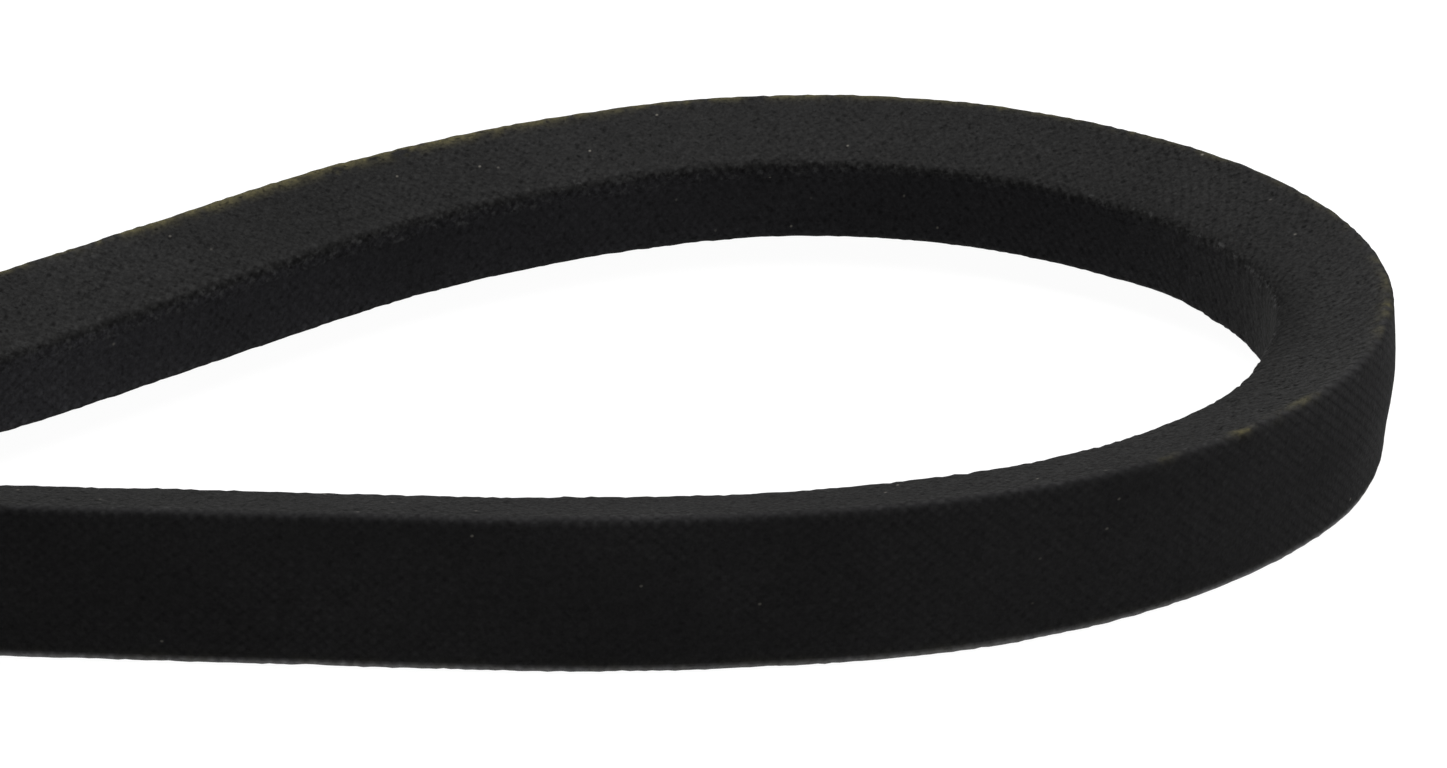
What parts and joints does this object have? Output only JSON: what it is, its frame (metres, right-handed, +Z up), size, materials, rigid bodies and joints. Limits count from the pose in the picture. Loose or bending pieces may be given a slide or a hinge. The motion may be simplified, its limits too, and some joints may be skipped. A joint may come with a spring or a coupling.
{
  "type": "v belt",
  "caption": "Endless wrapped V-belt with a wedge section and fabric cover, lying on its side as an elongated loop drawn in at the middle.",
  "frame": {"origin": "on the surface that the belt lies on, under the middle of the loop's bounding box", "axes": "+X along the loop, across its plane of symmetry at X = 0; +Y from the flat side of the loop to the side with the deep waist; +Z up, across the belt's width, square to the plane of the loop"},
  "size_m": [0.404, 0.0946, 0.0164],
  "materials": {
    "outer_cover": "black rubber-filled plain weave on the bias, matte with a faint dusty bloom",
    "inner_cover": "rubber-filled plain weave",
    "tension_rubber": "smooth vulcanised",
    "adhesion_rubber": "smooth vulcanised",
    "polyester_cord": "dipped twisted polyester",
    "compression_rubber": "fibre-filled vulcanised"
  },
  "bodies": {
    "root": {"outer_cover_ply": "outer_cover", "inner_cover_ply": "inner_cover", "tension_rubber": "tension_rubber", "upper_adhesion_rubber": "adhesion_rubber", "tensile_cord": "polyester_cord", "lower_adhesion_rubber": "adhesion_rubber", "compression_rubber": "compression_rubber"}
  },
  "joints": []
}
